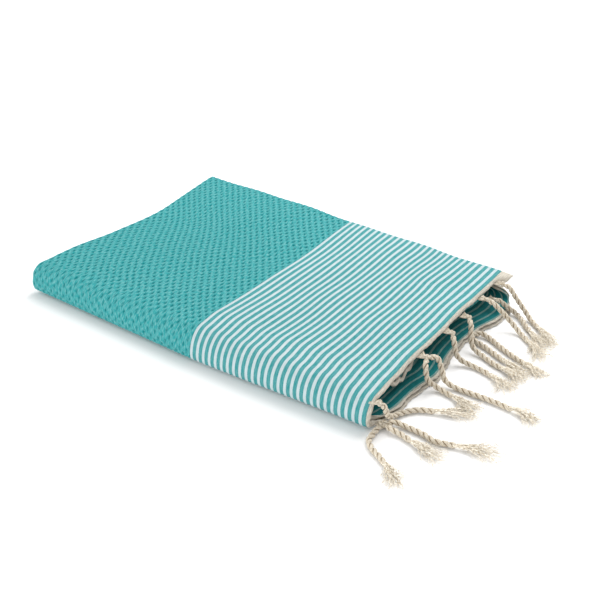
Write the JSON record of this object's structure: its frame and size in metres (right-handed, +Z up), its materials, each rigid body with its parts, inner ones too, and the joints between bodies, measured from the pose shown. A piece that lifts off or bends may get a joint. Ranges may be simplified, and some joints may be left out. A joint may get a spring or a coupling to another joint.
{
  "type": "folded hammam towel",
  "caption": "Flat-woven bath towel folded into a flat pad, with a honeycomb field, striped ends, undyed heading bands and twisted, frayed fringe cords.",
  "frame": {"origin": "middle of the folded cloth's underside, on the surface that it lies on (the fringe is not counted)", "axes": "+X from the folded end to the fringed end, +Y from the round front fold to the back, +Z up"},
  "size_m": [0.6049, 0.375, 0.0418],
  "materials": {
    "honeycomb_cloth": "matt teal honeycomb weave",
    "striped_cloth": "matt plain weave, even white and teal stripes",
    "heading_cloth": "matt undyed plain weave",
    "fringe_yarn": "matt undyed twisted cotton yarn, frayed at the ends"
  },
  "bodies": {
    "root": {"honeycomb_field": "honeycomb_cloth", "outer_striped_end": "striped_cloth", "inner_striped_end": "striped_cloth", "outer_heading_band": "heading_cloth", "inner_heading_band": "heading_cloth", "fringe_1_cord": "fringe_yarn", "fringe_1_knot": "fringe_yarn", "fringe_1_tuft": "fringe_yarn", "fringe_2_cord": "fringe_yarn", "fringe_2_knot": "fringe_yarn", "fringe_2_tuft": "fringe_yarn", "fringe_3_cord": "fringe_yarn", "fringe_3_knot": "fringe_yarn", "fringe_3_tuft": "fringe_yarn", "fringe_4_cord": "fringe_yarn", "fringe_4_knot": "fringe_yarn", "fringe_4_tuft": "fringe_yarn", "fringe_5_cord_a": "fringe_yarn", "fringe_5_cord_b": "fringe_yarn", "fringe_5_knot": "fringe_yarn", "fringe_5_tuft_a": "fringe_yarn", "fringe_5_tuft_b": "fringe_yarn", "fringe_6_cord": "fringe_yarn", "fringe_6_knot": "fringe_yarn", "fringe_6_tuft": "fringe_yarn", "fringe_7_cord_a": "fringe_yarn", "fringe_7_cord_b": "fringe_yarn", "fringe_7_knot": "fringe_yarn", "fringe_7_tuft_a": "fringe_yarn", "fringe_7_tuft_b": "fringe_yarn", "fringe_8_cord": "fringe_yarn", "fringe_8_knot": "fringe_yarn", "fringe_8_tuft": "fringe_yarn", "fringe_9_cord_a": "fringe_yarn", "fringe_9_cord_b": "fringe_yarn", "fringe_9_cord_c": "fringe_yarn", "fringe_9_knot": "fringe_yarn", "fringe_9_tuft_a": "fringe_yarn", "fringe_9_tuft_b": "fringe_yarn", "fringe_9_tuft_c": "fringe_yarn"}
  },
  "joints": []
}
